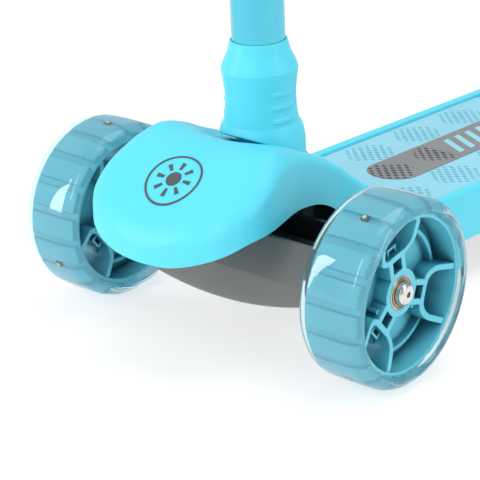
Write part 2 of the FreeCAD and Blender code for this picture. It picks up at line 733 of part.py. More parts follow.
def deck_plan(inset, z0, z1):
    """Plan outline of the deck as a block: straight sides, a tail that draws in round the wheel."""
    half = deck_half_width - inset
    tail = deck_tail_y - inset
    knee = pad_end_y + 2
    narrow = spine_half_width + fork_thickness + tail_side - inset
    across, along = tail_corner
    side = [V(half, seam_y, 0), V(half, knee, 0)]
    curve = Part.BezierCurve()
    curve.setPoles([V(half, knee, 0), V(half, knee + tail_curve, 0), V(narrow, knee + tail_curve, 0),
                    V(narrow, tail - along, 0)])
    corner = Part.BezierCurve()
    corner.setPoles([V(narrow, tail - along, 0), V(narrow, tail, 0), V(narrow - across, tail, 0)])
    edges = [Part.LineSegment(side[0], side[1]).toShape(), curve.toShape(), corner.toShape()]
    mirrored = [e.mirror(V(0, 0, 0), X) for e in edges]
    closing = [Part.LineSegment(V(narrow - across, tail, 0), V(across - narrow, tail, 0)).toShape(),
               Part.LineSegment(V(-half, seam_y, 0), V(half, seam_y, 0)).toShape()]
    outline = Part.Wire(Part.__sortEdges__(edges + mirrored + closing))
    return shifted(Part.Face(outline), z=z0).extrude(V(0, 0, z1 - z0))


def pad_plan(gap, z0, z1):
    """Plan outline of the grip pad as a block with round rear corners."""
    half = deck_half_width - rim_width - gap
    block = box(-half, half, seam_y, pad_end_y - gap, z0, z1)
    corners = [e for e in block.Edges if e.BoundBox.ZLength > 0.5 and e.CenterOfMass.y > pad_end_y - 5]
    return block.makeFillet(pad_corner_radius, corners)


def panel_plan(gap, z0, z1):
    half = panel_half_width - gap
    start, end = panel_start_y + panel_half_width, panel_end_y - panel_half_width
    tips = [Part.makeCylinder(half, z1 - z0, V(0, y, z0)) for y in (start, end)]
    return joined([box(-half, half, start, end, z0, z1)] + tips)


pad_top_z = deck_top_z - pad_drop
pad_bottom_z = pad_top_z - pad_thickness


def deck_shell():
    shell = deck_plan(0, deck_bottom_z, deck_top_z)
    top_edges = [e for e in shell.Edges if e.CenterOfMass.z > deck_top_z
                 - 0.1 and e.CenterOfMass.y > seam_y + 1]
    shell = shell.makeFillet(deck_edge_radius, top_edges)
    hollow = deck_plan(wall, deck_bottom_z - 1, pad_bottom_z - wall)
    shell = shell.cut(hollow.fuse(box(wall - deck_half_width, deck_half_width - wall, seam_y - 1, seam_y + 20,
                                      deck_bottom_z - 1, pad_bottom_z - wall)))
    shell = shell.cut(pad_plan(0, pad_bottom_z, deck_top_z + 1))
    fork_room = spine_half_width + fork_thickness + floor_gap
    slot = box(-fork_room, fork_room, fork_front_y - floor_gap, deck_tail_y + 1, deck_bottom_z - 1,
               deck_top_z + 1)
    shell = shell.cut(slot)
    posts = [pipe(post_radius, screw_radius, V(x, y, deck_bottom_z + floor_thickness), V(x, y,
                                                                                         pad_bottom_z - 1))
             for x, y in deck_screw_places]
    axle_hole = rod(fork_hole_radius, V(-90, wheelbase, rear_wheel_radius), V(90, wheelbase,
                                                                              rear_wheel_radius))
    return joined([shell] + posts).cut(axle_hole)


def deck_floor():
    inset = wall + floor_gap
    plate = deck_plan(inset, deck_bottom_z, deck_bottom_z + floor_thickness)
    front = box(inset - deck_half_width, deck_half_width - inset, seam_y - 4, seam_y + 4, deck_bottom_z,
                deck_bottom_z + floor_thickness)
    room = rear_wheel_radius + 8
    wheel_slot = box(-spine_half_width - fork_thickness, spine_half_width + fork_thickness, wheelbase - room,
                     deck_tail_y + 1, 0, deck_top_z)
    plate = plate.fuse(front).removeSplitter().cut(wheel_slot)
    holes = []
    for x, y in deck_screw_places:
        holes.append(Part.makeCylinder(screw_radius, floor_thickness, V(x, y, deck_bottom_z)))
        holes.append(Part.makeCylinder(screw_head_radius, screw_head_height, V(x, y, deck_bottom_z)))
    return plate.cut(joined(holes))


def deck_screws():
    screws = []
    for x, y in deck_screw_places:
        shank = Part.makeCylinder(screw_radius, screw_length, V(x, y, deck_bottom_z))
        head = Part.makeCylinder(screw_head_radius, screw_head_height, V(x, y, deck_bottom_z))
        screws.append(joined([shank, head]))
    return group(screws)


def spine():
    """Steel box section along the deck; the head frame's column stands in its front end."""
    outer = box(-spine_half_width, spine_half_width, spine_front_y, spine_rear_y, spine_bottom_z, spine_top_z)
    inner = box(spine_wall - spine_half_width, spine_half_width - spine_wall, spine_front_y - 1,
                spine_rear_y + 1,
                spine_bottom_z + spine_wall, spine_top_z - spine_wall)
    column = box(-head_half_width, head_half_width, head_column_y, head_rear_y, 0, 200)
    return outer.cut(inner).cut(column)


def write_deck():
    write("nose_cover", nose_cover())
    write("nose_badge", badge())
    write("deck_shell", deck_shell())
    write("deck_floor", deck_floor())
    write("deck_screws", deck_screws())
    pad = pad_plan(pad_gap, pad_bottom_z, pad_top_z).cut(panel_plan(0, 0, 200))
    write("deck_pad", pad)
    write("deck_panel", panel_plan(pad_gap, pad_bottom_z, pad_top_z + panel_proud))
    write("deck_spine", spine())


# ---- rear fork, axle and brake ----

def fork_plate(x0, x1):
    low, high, corner = fork_bottom_z, fork_top_z, fork_chamfer
    points = [(fork_front_y, low), (fork_rear_y - corner, low), (fork_rear_y, low + corner),
              (fork_rear_y, high - corner), (fork_rear_y - corner, high), (fork_front_y, high)]
    plate = polygon_x(points, x0, x1)
    ear = rod(brake_ear_radius, V(x0, brake_pin_y, brake_pin_z), V(x1, brake_pin_y, brake_pin_z))
    plate = joined([plate, ear])
    plate = plate.cut(rod(brake_pin_radius, V(x0, brake_pin_y, brake_pin_z), V(x1, brake_pin_y, brake_pin_z)))
    return plate.cut(rod(axle_radius, V(x0, wheelbase, rear_wheel_radius), V(x1, wheelbase,
                                                                             rear_wheel_radius)))


def fender():
    """A curved guard over the rear wheel; its front end is a knuckle on the brake pin."""
    inner = rear_wheel_radius + fender_gap
    outer = inner + fender_thickness
    centre = V(-fender_half_width, wheelbase, rear_wheel_radius)
    span = fender_start_angle - fender_end_angle
    sector = Part.makeCylinder(outer, 2 * fender_half_width, centre, X, span)
    sector = sector.cut(Part.makeCylinder(inner, 2 * fender_half_width, centre, X))
    start = sector_start_angle(sector, centre)
    sector.rotate(centre, X, fender_end_angle - start)
    half = fender_half_width
    knuckle = rod(brake_pin_radius + brake_knuckle_wall, V(-half, brake_pin_y, brake_pin_z),
                  V(half, brake_pin_y, brake_pin_z))
    strap = polygon_x([(brake_pin_y - 1, brake_pin_z + brake_ear_radius - 1.6), (brake_pin_y + 4,
                                                                                 brake_pin_z - 1),
                       fender_point(fender_start_angle - 1, inner), fender_point(fender_start_angle - 1,
                                                                                 outer)],
                      -half, half)
    body = joined([sector, knuckle, strap])
    pin_room = brake_pin_radius + axle_clearance
    body = body.cut(rod(pin_room, V(-40, brake_pin_y, brake_pin_z), V(40, brake_pin_y, brake_pin_z)))
    room = brake_spring_half + brake_spring_room
    return body.cut(rod(brake_ear_radius, V(-room, brake_pin_y, brake_pin_z), V(room, brake_pin_y,
                                                                                brake_pin_z)))


def fender_point(angle, radius):
    turn = math.radians(angle)
    return wheelbase + radius * math.cos(turn), rear_wheel_radius + radius * math.sin(turn)


def sector_start_angle(sector, centre):
    """Angle of the sector's first flat face, read from straight back upwards."""
    angles = []
    for face in sector.Faces:
        if isinstance(face.Surface, Part.Plane) and abs(face.Surface.Axis.x) < 0.01:
            middle = face.CenterOfMass - centre
            angles.append(math.degrees(math.atan2(middle.z, middle.y)) % 360)
    first, last = sorted(angles)
    return last if last - first > 180 else first


def brake_pad():
    inner = rear_wheel_radius + brake_pad_gap
    outer = rear_wheel_radius + fender_gap
    points = [fender_point(brake_pad_angle + s * brake_pad_half_angle, r) for s, r in
              ((-1, inner), (0, inner), (1, inner), (1, outer + 0.6), (-1, outer + 0.6))]
    block = polygon_x(points, -brake_pad_half_width, brake_pad_half_width)
    centre = V(-40, wheelbase, rear_wheel_radius)
    ring = Part.makeCylinder(outer, 80, centre, X).cut(Part.makeCylinder(inner, 80, centre, X))
    return block.common(ring)


def write_rear():
    fork = [fork_plate(spine_half_width, spine_half_width + fork_thickness),
            fork_plate(-spine_half_width - fork_thickness, -spine_half_width)]
    write("rear_fork", group(fork))
    side = spine_half_width + fork_thickness
    mid = rear_wheel_radius
    bolt = joined([rod(axle_radius, V(-side - axle_nut_height - axle_end, wheelbase, mid), V(side,
                                                                                             wheelbase, mid)),
                   rod(axle_head_radius, V(side, wheelbase, mid), V(side + axle_head_height, wheelbase,
                                                                    mid))])
    write("rear_axle_bolt", bolt)
    nut_far = -side - axle_nut_height
    corners = [math.radians(60 * k) for k in range(7)]
    nut = Part.Face(Part.makePolygon([V(nut_far, wheelbase + axle_nut_radius * math.cos(a),
                                        mid + axle_nut_radius * math.sin(a)) for a in corners]))
    nut = nut.extrude(V(axle_nut_height, 0, 0)).cut(rod(axle_radius, V(-60, wheelbase, mid), V(60,
            wheelbase, mid)))
    write("rear_axle_nut", nut)
    face = rear_wheel_width / 2 - hub_recess + running_gap
    spacers = [pipe(spacer_radius, axle_radius, V(s * face, wheelbase, mid), V(s * spine_half_width,
                                                                               wheelbase, mid))
               for s in (1, -1)]
    write("rear_axle_spacers", group(spacers))
    write("brake_fender", fender())
    write("brake_pad", brake_pad())
    write("brake_pin", rod(brake_pin_radius, V(-side, brake_pin_y, brake_pin_z), V(side, brake_pin_y,
                                                                                   brake_pin_z)))
    coil = pipe(brake_ear_radius - 1.8, brake_pin_radius + 0.3, V(-brake_spring_half, brake_pin_y,
                                                                  brake_pin_z),
                V(brake_spring_half, brake_pin_y, brake_pin_z))
    write("brake_spring", coil)


# ---- stem, made about Z with its foot at the origin, then leant forward ----

def on_stem(shape):
    leant = spun(shape, rake, axis=X)
    return shifted(leant, y=stem_foot_y, z=stem_foot_z)


def knuckle():
    """Casting in the tube's foot, with an ear that reaches back to the fold pin."""
    plug = Part.makeCylinder(tube_radius - tube_wall - plug_clearance, tube_start + plug_length, V(0, 0, 0))
    disc = Part.makeCylinder(knuckle_radius, tube_start + 6, V(0, 0, -6))
    body = on_stem(joined([plug, disc]))
    ear = rod(fold_ear_radius, V(-fold_ear_inner, fold_y, fold_z), V(fold_ear_inner, fold_y, fold_z))
    arm = box(-fold_ear_inner, fold_ear_inner, stem_foot_y, fold_y, fold_z + 1.5, fold_z + fold_ear_radius)
    floor_z = fold_base_top_z + knuckle_gap
    keep = box(-60, 60, -60, fold_y - fold_ear_radius - 1.5, floor_z, 300)
    body = joined([body.common(keep), arm.common(box(-60, 60, -60, 99, floor_z, 300)), ear])
    return body.cut(rod(fold_pin_radius + axle_clearance, V(-40, fold_y, fold_z), V(40, fold_y, fold_z)))


def collar():
    """Lock collar: waisted sleeve with a flange foot that is cut to the slope of the nose."""
    outline, neck = collar_profile, collar_flange_points
    top = outline[0][0]
    bore = tube_radius + collar_clearance
    curve = spline([V(r, 0, h) for h, r in outline[:neck]])
    flange = spline([V(r, 0, h) for h, r in outline[neck - 1:-1]])
    foot, reach = outline[-1]
    corners = [V(outline[-2][1], 0, outline[-2][0]), V(reach, 0, foot), V(0, 0, foot), V(0, 0, top),
               V(outline[0][1], 0, top)]
    edges = [curve, flange] + [Part.LineSegment(a, b).toShape() for a, b in zip(corners, corners[1:])]
    sleeve = Part.Face(Part.Wire(Part.__sortEdges__(edges))).revolve(V(0, 0, 0), Z, 360)
    (tall, wide), out = collar_rib_size, collar_rib_reach
    for height in collar_rib_heights:
        rib = box(-out, out, -wide / 2, wide / 2, height - tall / 2, height + tall / 2)
        rounding = Part.makeCylinder(out, tall, V(0, 0, height - tall / 2))
        sleeve = sleeve.fuse(rib.common(rounding))
    room = joined([Part.makeCylinder(bore, 200, V(0, 0, -50)),
                   Part.makeCylinder(collar_room_radius, collar_neck + 50, V(0, 0, -50))])
    sleeve = on_stem(sleeve.removeSplitter().cut(room))
    sleeve = sleeve.common(above_foot(0))
    half = fold_ear_outer + nose_opening_gap
    hinge_room = box(-half, half, stem_foot_y, 90, 0, fold_z + fold_ear_radius + collar_knuckle_room)
    return sleeve.cut(hinge_room)


def lock_spring():
    radius = tube_radius + spring_wire / 2 + 0.4
    height = spring_pitch * spring_turns
    path = Part.makeHelix(spring_pitch, height, radius)
    ring = Part.Wire(Part.makeCircle(spring_wire / 2, V(radius, 0, 0), Y))
    coil = Part.Wire(path).makePipeShell([ring], True, True)
    return shifted(coil, z=collar_neck - spring_top_gap - height)


def write_stem():
    inner = tube_radius - tube_wall
    tube = pipe(tube_radius, inner, V(0, 0, tube_start), V(0, 0, tube_start + tube_length))
    write("lower_tube", on_stem(tube))
    write("stem_knuckle", knuckle())
    write("lock_collar", collar())
    write("lock_spring", on_stem(lock_spring()))
    tube_top = tube_start + tube_length
    bush = pipe(inner, upper_tube_radius + slide_clearance, V(0, 0, tube_top - slide_bush_length), V(0, 0,
            tube_top))
    write("slide_bush", on_stem(bush))


def clamp_band(tube_top):
    """Split band round the top of the lower tube, with two ears behind."""
    low = tube_top - clamp_length
    band = pipe(clamp_radius, tube_radius, V(0, 0, low), V(0, 0, tube_top))
    cap = pipe(clamp_radius, upper_tube_radius + 0.6, V(0, 0, tube_top), V(0, 0, tube_top + clamp_lip))
    middle = tube_top - clamp_length / 2
    ears = box(-clamp_slot / 2 - clamp_ear_thickness, clamp_slot / 2 + clamp_ear_thickness, tube_radius + 1,
               clamp_ear_reach, middle - clamp_ear_height / 2, middle + clamp_ear_height / 2)
    body = joined([band, cap, ears])
    slot = box(-clamp_slot / 2, clamp_slot / 2, 0, clamp_ear_reach + 1, low - 1, tube_top + clamp_lip + 1)
    body = body.cut(slot)
    return body.cut(rod(clamp_bolt_radius, V(-40, clamp_bolt_y, middle), V(40, clamp_bolt_y, middle)))


def clamp_lever(middle):
    """Cam lever: a barrel on the lever pin and an arm that lies round the band when shut."""
    low, high = middle - lever_width / 2, middle + lever_width / 2
    pivot = (lever_pivot_x, clamp_bolt_y)
    barrel = Part.makeCylinder(lever_barrel_radius, lever_width, V(pivot[0], pivot[1], low))
    inner = clamp_radius + lever_stand_off
    outer = inner + lever_thickness
    points = [V(pivot[0], pivot[1] - 4, low), V(inner, 12, low), V(inner, lever_tip_y + 2, low),
              V(outer + 1, lever_tip_y, low),
              V(outer, 14, low), V(pivot[0] + 4, pivot[1] + 2, low)]
    arm = Part.Face(Part.makePolygon(points + points[:1])).extrude(V(0, 0, lever_width))
    body = joined([barrel, arm])
    slot = clamp_bolt_radius + lever_gap
    body = body.cut(box(0, lever_pivot_x + 20, clamp_bolt_y - 30, clamp_bolt_y + 30, middle - slot,
                        middle + slot)
                    .common(Part.makeCylinder(lever_barrel_radius + 2.5, lever_width, V(*pivot, low))))
    return body.cut(Part.makeCylinder(lever_pin_radius + axle_clearance, lever_width, V(pivot[0], pivot[1],
                                                                                        low)))


def write_clamp():
    tube_top = tube_start + tube_length
    middle = tube_top - clamp_length / 2
    write("clamp_band", on_stem(clamp_band(tube_top)))
    write("clamp_lever", on_stem(clamp_lever(middle)))
    pin_half = lever_width / 2
    lever_pin = Part.makeCylinder(lever_pin_radius, 2 * pin_half, V(lever_pivot_x, clamp_bolt_y,
                                                                    middle - pin_half))
    bolt = rod(clamp_bolt_radius, V(-16, clamp_bolt_y, middle), V(lever_pivot_x + 2.5, clamp_bolt_y, middle))
    write("clamp_bolt", on_stem(bolt.cut(lever_pin)))
    write("lever_pin", on_stem(lever_pin))
    ear_side = clamp_slot / 2 + clamp_ear_thickness
    nut = pipe(5.0, clamp_bolt_radius, V(-ear_side - 5, clamp_bolt_y, middle), V(-ear_side, clamp_bolt_y,
                                                                                 middle))
    write("clamp_nut", on_stem(nut))


def grip(side):
    """Ridged sleeve with a flange at its inner end, on one end of the crossbar."""
    inner_end = crossbar_half_length - grip_length
    outline = [(inner_end, crossbar_radius), (inner_end, grip_flange_radius), (inner_end + grip_flange_width,
               grip_flange_radius), (inner_end + grip_flange_width, grip_radius)]
    pitch = (grip_length - grip_flange_width - 8) / grip_ridge_count
    ridge = grip_radius + grip_ridge_height
    for n in range(grip_ridge_count):
        start = inner_end + grip_flange_width + 4 + n * pitch
        for share, radius in ((0.1, grip_radius), (0.3, ridge), (0.7, ridge), (0.9, grip_radius)):
            outline.append((start + share * pitch, radius))
    outline += [(crossbar_half_length, grip_radius), (crossbar_half_length, crossbar_radius)]
    sleeve = spun(turned(outline), 90, axis=Y)
    return sleeve if side > 0 else spun(sleeve, 180)


def end_cap(side):
    x0 = crossbar_half_length
    dome = rod(grip_radius, V(x0, 0, 0), V(x0 + end_cap_length, 0, 0))
    rim = [e for e in dome.Edges if e.Closed and abs(e.CenterOfMass.x - x0 - end_cap_length) < 0.01]
    dome = dome.makeFillet(end_cap_length * 0.7, rim[:1])
    plug = rod(crossbar_radius - crossbar_wall - 0.05, V(x0 - end_plug_length, 0, 0), V(x0, 0, 0))
    cap = joined([dome, plug])
    return cap if side > 0 else spun(cap, 180)


def write_bar():
    top = upper_tube_top
    upper = pipe(upper_tube_radius, upper_tube_radius - upper_tube_wall, V(0, 0, upper_tube_start), V(0, 0,
                                                                                                      top))
    write("upper_tube", on_stem(upper))
    bar_height = top + crossbar_radius + 3
    sleeve = rod(tee_radius, V(0, 0, top - tee_length + 10), V(0, 0, bar_height))
    arms = rod(tee_radius, V(-tee_half_width, 0, bar_height), V(tee_half_width, 0, bar_height))
    ball = Part.makeSphere(tee_radius, V(0, 0, bar_height))
    body = joined([sleeve, arms, ball])
    body = body.cut(rod(upper_tube_radius, V(0, 0, 0), V(0, 0, top)))
    body = body.cut(rod(crossbar_radius, V(-60, 0, bar_height), V(60, 0, bar_height)))
    write("bar_tee", on_stem(body))
    crossbar = pipe(crossbar_radius, crossbar_radius - crossbar_wall, V(-crossbar_half_length, 0, bar_height),
                    V(crossbar_half_length, 0, bar_height))
    write("crossbar", on_stem(crossbar))
    for side, s in (("left", 1), ("right", -1)):
        write(f"{side}_grip", on_stem(shifted(grip(s), z=bar_height)))
    write("bar_end_caps", on_stem(shifted(group([end_cap(1), end_cap(-1)]), z=bar_height)))
    wedge = Part.makeCylinder(upper_tube_radius - upper_tube_wall, tube_plug_length, V(0, 0,
                                                                                       upper_tube_start))
    write("upper_tube_plug", on_stem(wedge))


write_wheel("front_left", front_wheel_radius, front_wheel_width, left_wheel_turn, track / 2, 0)
write_wheel("front_right", front_wheel_radius, front_wheel_width, right_wheel_turn, -track / 2, 0)
write_wheel("rear", rear_wheel_radius, rear_wheel_width, rear_wheel_turn, 0, wheelbase)
write_front_truck()
write_kingpin()
write_fold()
write_deck()
write_rear()
write_stem()
write_clamp()
write_bar()
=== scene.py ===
import bpy
import math
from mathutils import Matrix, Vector


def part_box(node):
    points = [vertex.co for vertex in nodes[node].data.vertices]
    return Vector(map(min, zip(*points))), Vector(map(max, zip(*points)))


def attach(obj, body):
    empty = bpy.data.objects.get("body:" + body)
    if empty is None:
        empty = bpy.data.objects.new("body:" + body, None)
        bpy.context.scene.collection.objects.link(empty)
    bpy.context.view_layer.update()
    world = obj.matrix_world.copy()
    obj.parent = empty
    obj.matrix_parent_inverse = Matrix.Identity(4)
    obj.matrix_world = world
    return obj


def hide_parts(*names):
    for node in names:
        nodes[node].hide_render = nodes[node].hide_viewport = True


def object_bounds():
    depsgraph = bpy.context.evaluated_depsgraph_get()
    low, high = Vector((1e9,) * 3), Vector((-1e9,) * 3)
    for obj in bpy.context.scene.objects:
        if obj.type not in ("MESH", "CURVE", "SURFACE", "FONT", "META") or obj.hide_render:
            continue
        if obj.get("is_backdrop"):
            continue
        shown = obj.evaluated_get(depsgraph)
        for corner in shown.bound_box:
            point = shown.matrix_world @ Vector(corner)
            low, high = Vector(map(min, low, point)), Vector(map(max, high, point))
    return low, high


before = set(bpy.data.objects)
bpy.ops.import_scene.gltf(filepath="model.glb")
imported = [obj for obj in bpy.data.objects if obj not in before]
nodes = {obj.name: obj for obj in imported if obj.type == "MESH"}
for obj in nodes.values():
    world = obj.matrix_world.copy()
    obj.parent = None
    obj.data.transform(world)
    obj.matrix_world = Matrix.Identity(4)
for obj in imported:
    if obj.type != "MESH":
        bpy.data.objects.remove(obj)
cad_low, cad_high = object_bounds()
bpy.ops.object.select_all(action="DESELECT")

# Studio: a wide pale floor, a white room with soft upright bands, a lamp overhead and three tall strip lamps that
# draw upright streaks in the metal, with the camera low in front on the rider's left.
bpy.ops.mesh.primitive_plane_add(size=14.0, location=(0, 0, cad_low.z - 0.0005))
floor = bpy.context.object
floor.name = "floor"
floor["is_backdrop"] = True
floor.data.materials.append(bpy.data.materials.new("pale floor"))
floor.data.materials[0].use_nodes = True
floor_shader = floor.data.materials[0].node_tree.nodes["Principled BSDF"]
floor_shader.inputs["Base Color"].default_value = (0.42, 0.42, 0.42, 1)
floor_shader.inputs["Roughness"].default_value = 0.9
floor_shader.inputs["Emission Color"].default_value = (1, 1, 1, 1)
floor_shader.inputs["Emission Strength"].default_value = 0.66

bpy.context.scene.view_settings.view_transform = "Standard"
room = bpy.data.worlds.new("white room")
room.use_nodes = True
backdrop = room.node_tree.nodes["Background"]
backdrop.inputs["Strength"].default_value = 0.74
bands = [room.node_tree.nodes.new(kind) for kind in ("ShaderNodeTexCoord", "ShaderNodeTexGradient", "ShaderNodeValToRGB")]
bands[1].gradient_type = "RADIAL"
room.node_tree.links.new(bands[0].outputs["Generated"], bands[1].inputs["Vector"])
room.node_tree.links.new(bands[1].outputs["Fac"], bands[2].inputs["Fac"])
room.node_tree.links.new(bands[2].outputs["Color"], backdrop.inputs["Color"])
ramp = bands[2].color_ramp.elements
for place, light in ((0.0, 1.2), (0.137, 0.45), (0.248, 1.5), (0.362, 0.8), (0.458, 0.5), (0.528, 1.2), (0.656, 0.5),
                     (0.8, 0.8), (1.0, 1.2)):
    stop = ramp[-1] if place == 1.0 else ramp[0] if place == 0.0 else ramp.new(place)
    stop.color = (light, light, light, 1)
bpy.context.scene.world = room


def lamp(name, place, target, wide, high, watts):
    """A softbox that looks at a point."""
    light = bpy.data.lights.new(name, "AREA")
    light.shape, light.size, light.size_y, light.energy = "RECTANGLE", wide, high, watts
    box = bpy.data.objects.new(name, light)
    bpy.context.scene.collection.objects.link(box)
    box.location = place
    box.rotation_mode = "QUATERNION"
    box.rotation_quaternion = (Vector(target) - Vector(place)).to_track_quat("-Z", "Y")
    return box


lamp("key strip", (-1.05, -1.45, 0.56), (0, -0.15, 0.1), 0.20, 1.05, 9)
lamp("front strip", (0.15, -1.9, 1.2), (0, -0.15, 0.1), 0.22, 1.1, 7)
lamp("side strip", (1.6, 0.1, 0.8), (0.1, -0.15, 0.1), 0.30, 1.2, 4.5)
lamp("top softbox", (0.2, 0.2, 1.9), (0, -0.1, 0.1), 1.6, 1.2, 15)

turn, tilt = math.radians(40.3), math.radians(20.9)
back = Vector((math.sin(turn) * math.cos(tilt), -math.cos(turn) * math.cos(tilt), math.sin(tilt)))
camera = bpy.data.objects.new("camera", bpy.data.cameras.new("camera"))
bpy.context.scene.collection.objects.link(camera)
camera.location = (0.6758, -1.0051, 0.4611)
camera.rotation_mode = "QUATERNION"
camera.rotation_quaternion = (-back).to_track_quat("-Z", "Y")
camera.data.sensor_width = 36
camera.data.lens = 131.2
bpy.context.scene.camera = camera


# Nose and deck: one smooth shell of satin light-blue plastic. The nose hangs over the front
# truck, rises to a saddle round the stem's foot and runs back into the raised rims of the deck.
class Wire:
    """One value in a material. Maths on it adds the Math nodes."""
    def __init__(self, finish, socket):
        self.finish, self.socket = finish, socket

    def maths(self, operation, a, b=0.0):
        return self.finish.node("ShaderNodeMath", {"operation": operation}, {0: a, 1: b})

    def __add__(self, other): return self.maths("ADD", self, other)
    def __radd__(self, other): return self.maths("ADD", other, self)
    def __sub__(self, other): return self.maths("SUBTRACT", self, other)
    def __rsub__(self, other): return self.maths("SUBTRACT", other, self)
    def __mul__(self, other): return self.maths("MULTIPLY", self, other)
    def __rmul__(self, other): return self.maths("MULTIPLY", other, self)
    def __truediv__(self, other): return self.maths("DIVIDE", self, other)
    def __pow__(self, other): return self.maths("POWER", self, other)
    def __mod__(self, other): return self.maths("FLOORED_MODULO", self, other)
    def __lt__(self, other): return self.maths("LESS_THAN", self, other)
    def __gt__(self, other): return self.maths("GREATER_THAN", self, other)
    def __abs__(self): return self.maths("ABSOLUTE", self)


class Finish:
    """A material for one finish, made of nodes round one Principled shader."""
    def __init__(self, name, **constants):
        self.material = bpy.data.materials.new(name)
        self.material.use_nodes = True
        self.tree = self.material.node_tree
        self.shader = self.tree.nodes["Principled BSDF"]
        for socket, value in constants.items():
            self.feed(self.shader.inputs[socket.replace("_", " ").title().replace("Ior", "IOR")], value)

    def node(self, kind, settings=None, sockets=None, out=0):
        made = self.tree.nodes.new(kind)
        for name, value in (settings or {}).items():
            if name == "stops":
                ramp = made.color_ramp.elements
                while len(ramp) < len(value):
                    ramp.new(0.5)
                for stop, (place, colour) in zip(ramp, value):
                    stop.position, stop.color = place, (*colour, 1)
            else:
                setattr(made, name, value)
        for name, value in (sockets or {}).items():
            self.feed(made.inputs[name], value)
        return Wire(self, made.outputs[out])

    def feed(self, socket, value):
        if isinstance(value, Wire):
            self.tree.links.new(value.socket, socket)
        elif isinstance(value, tuple) and len(value) == 3 and socket.type == "RGBA":
            socket.default_value = (*value, 1)
        else:
            socket.default_value = value

    def place(self, centre=(0, 0, 0), scale=1000.0):
        """Where a point lies on the object, in millimetres from a centre."""
        at = self.node("ShaderNodeTexCoord", out=3)
        shift = self.node("ShaderNodeVectorMath", {"operation": "SUBTRACT"}, {0: at, 1: tuple(centre)})
        return self.node("ShaderNodeVectorMath", {"operation": "SCALE"}, {0: shift, "Scale": scale})

    def axes(self, vector):
        split = self.tree.nodes.new("ShaderNodeSeparateXYZ")
        self.tree.links.new(vector.socket, split.inputs[0])
        return [Wire(self, out) for out in split.outputs]

    def noise(self, at, scale, detail=2.0, roughness=0.5):
        return self.node("ShaderNodeTexNoise", {}, {"Vector": at, "Scale": scale, "Detail": detail,
                                                    "Roughness": roughness})

    def between(self, share, low, high):
        """Share of the way from one colour to another."""
        return self.node("ShaderNodeMix", {"data_type": "RGBA"}, {"Factor": share, 6: low, 7: high}, out=2)

    def near(self, value, edge, soft):
        """One below the edge and zero above it, with a soft step."""
        return self.node("ShaderNodeMapRange", {"interpolation_type": "SMOOTHSTEP"},
                         {0: value, 1: edge - soft, 2: edge + soft, 3: 1.0, 4: 0.0})

    def larger(self, a, b):
        return self.node("ShaderNodeMath", {"operation": "MAXIMUM"}, {0: a, 1: b})

    def open_share(self, reach, own=True):
        """How open a place is: one on a free face, near zero deep in a hollow."""
        return self.node("ShaderNodeAmbientOcclusion", {"samples": 8, "only_local": own}, {"Distance": reach}, out=1)

    def finish(self, colour=None, roughness=None, height=None, depth=0.0002, rounding=0.0):
        if colour is not None:
            self.feed(self.shader.inputs["Base Color"], colour)
        if roughness is not None:
            self.feed(self.shader.inputs["Roughness"], roughness)
        normal = self.node("ShaderNodeBevel", {"samples": 4}, {"Radius": rounding}) if rounding else None
        if height is not None:
            sockets = {"Height": height, "Distance": depth, "Strength": 1.0}
            if normal:
                sockets["Normal"] = normal
            normal = self.node("ShaderNodeBump", {}, sockets)
        if normal:
            self.feed(self.shader.inputs["Normal"], normal)
        return self.material


def paint(material, *names):
    """Gives CAD nodes a finish."""
    for name in names:
        nodes[name].data.materials.clear()
        nodes[name].data.materials.append(material)


def moulded_blue(name, rounding=0.0):
    """Satin light-blue plastic with a faint moulding texture and slightly uneven gloss."""
    blue = Finish(name, ior=1.46, specular_ior_level=0.35)
    at = blue.place()
    cloud = blue.noise(at, 0.012, 3.0)
    grain = blue.noise(at, 2.6, 2.0)
    colour = blue.between(cloud, (0.092, 0.650, 0.82), (0.115, 0.71, 0.87))
    return blue.finish(colour, 0.33 + cloud * 0.12, grain, 0.00002, rounding)


front_y = sum(c.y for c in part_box("front_left_bearings")) / 2
MM = 0.001

# by y from the front axle: half width; height of the lower edge; heights of ridge, shoulder, side
nose_half = [(-92.5, 3), (-92.2, 8), (-91, 20), (-86.5, 38), (-77, 53.4), (-61, 61), (-45, 61.5), (-25, 57),
             (0, 51), (25, 49), (45, 50.5), (65, 57), (85, 64), (100, 67), (108, 67.5)]
nose_low = [(-92.5, 75), (-91, 75.8), (-86.5, 80.5), (-77, 87), (-61, 93), (-30, 95), (-10, 96), (5, 95),
            (20, 92.5), (35, 86), (45, 77), (60, 52), (72, 38), (86, 32), (108, 32)]
nose_ridge = [(-92.5, 84), (-91, 89.5), (-87, 96), (-77, 107), (-61, 119.5), (-45, 129.5), (-30, 136.2),
              (-18, 136.2), (-5, 131), (5, 126.5), (14, 122), (23, 117.5), (33, 113), (44, 108), (56, 100.5),
              (75, 87), (92, 74.5), (104, 66.6), (108, 65.6)]
nose_shoulder = [(-92.5, 83), (-91, 88.5), (-87, 95), (-77, 107.3), (-61, 119.5), (-45, 129.5), (-30, 137.2),
                 (-18, 139), (-5, 135.5), (5, 131.8), (14, 128.2), (23, 124), (33, 119), (44, 112), (56, 102.5),
                 (75, 88.2), (92, 75.8), (108, 68)]
nose_side = [(-92.5, 80), (-91, 85), (-87, 90.5), (-77, 103.5), (-61, 113), (-45, 121), (-30, 128), (-18, 130.5),
             (-5, 129), (5, 126.5), (14, 124), (23, 121), (33, 116.5), (44, 110.2), (56, 101), (75, 87.5),
             (92, 75.6), (108, 67.6)]
deck_top, deck_low, pad_floor, rim_half, groove = 67.5, 32.0, 63.3, 67.5, 58.0
deck_straight, deck_tail = 384.0, 476.0
tail_half = 40.0


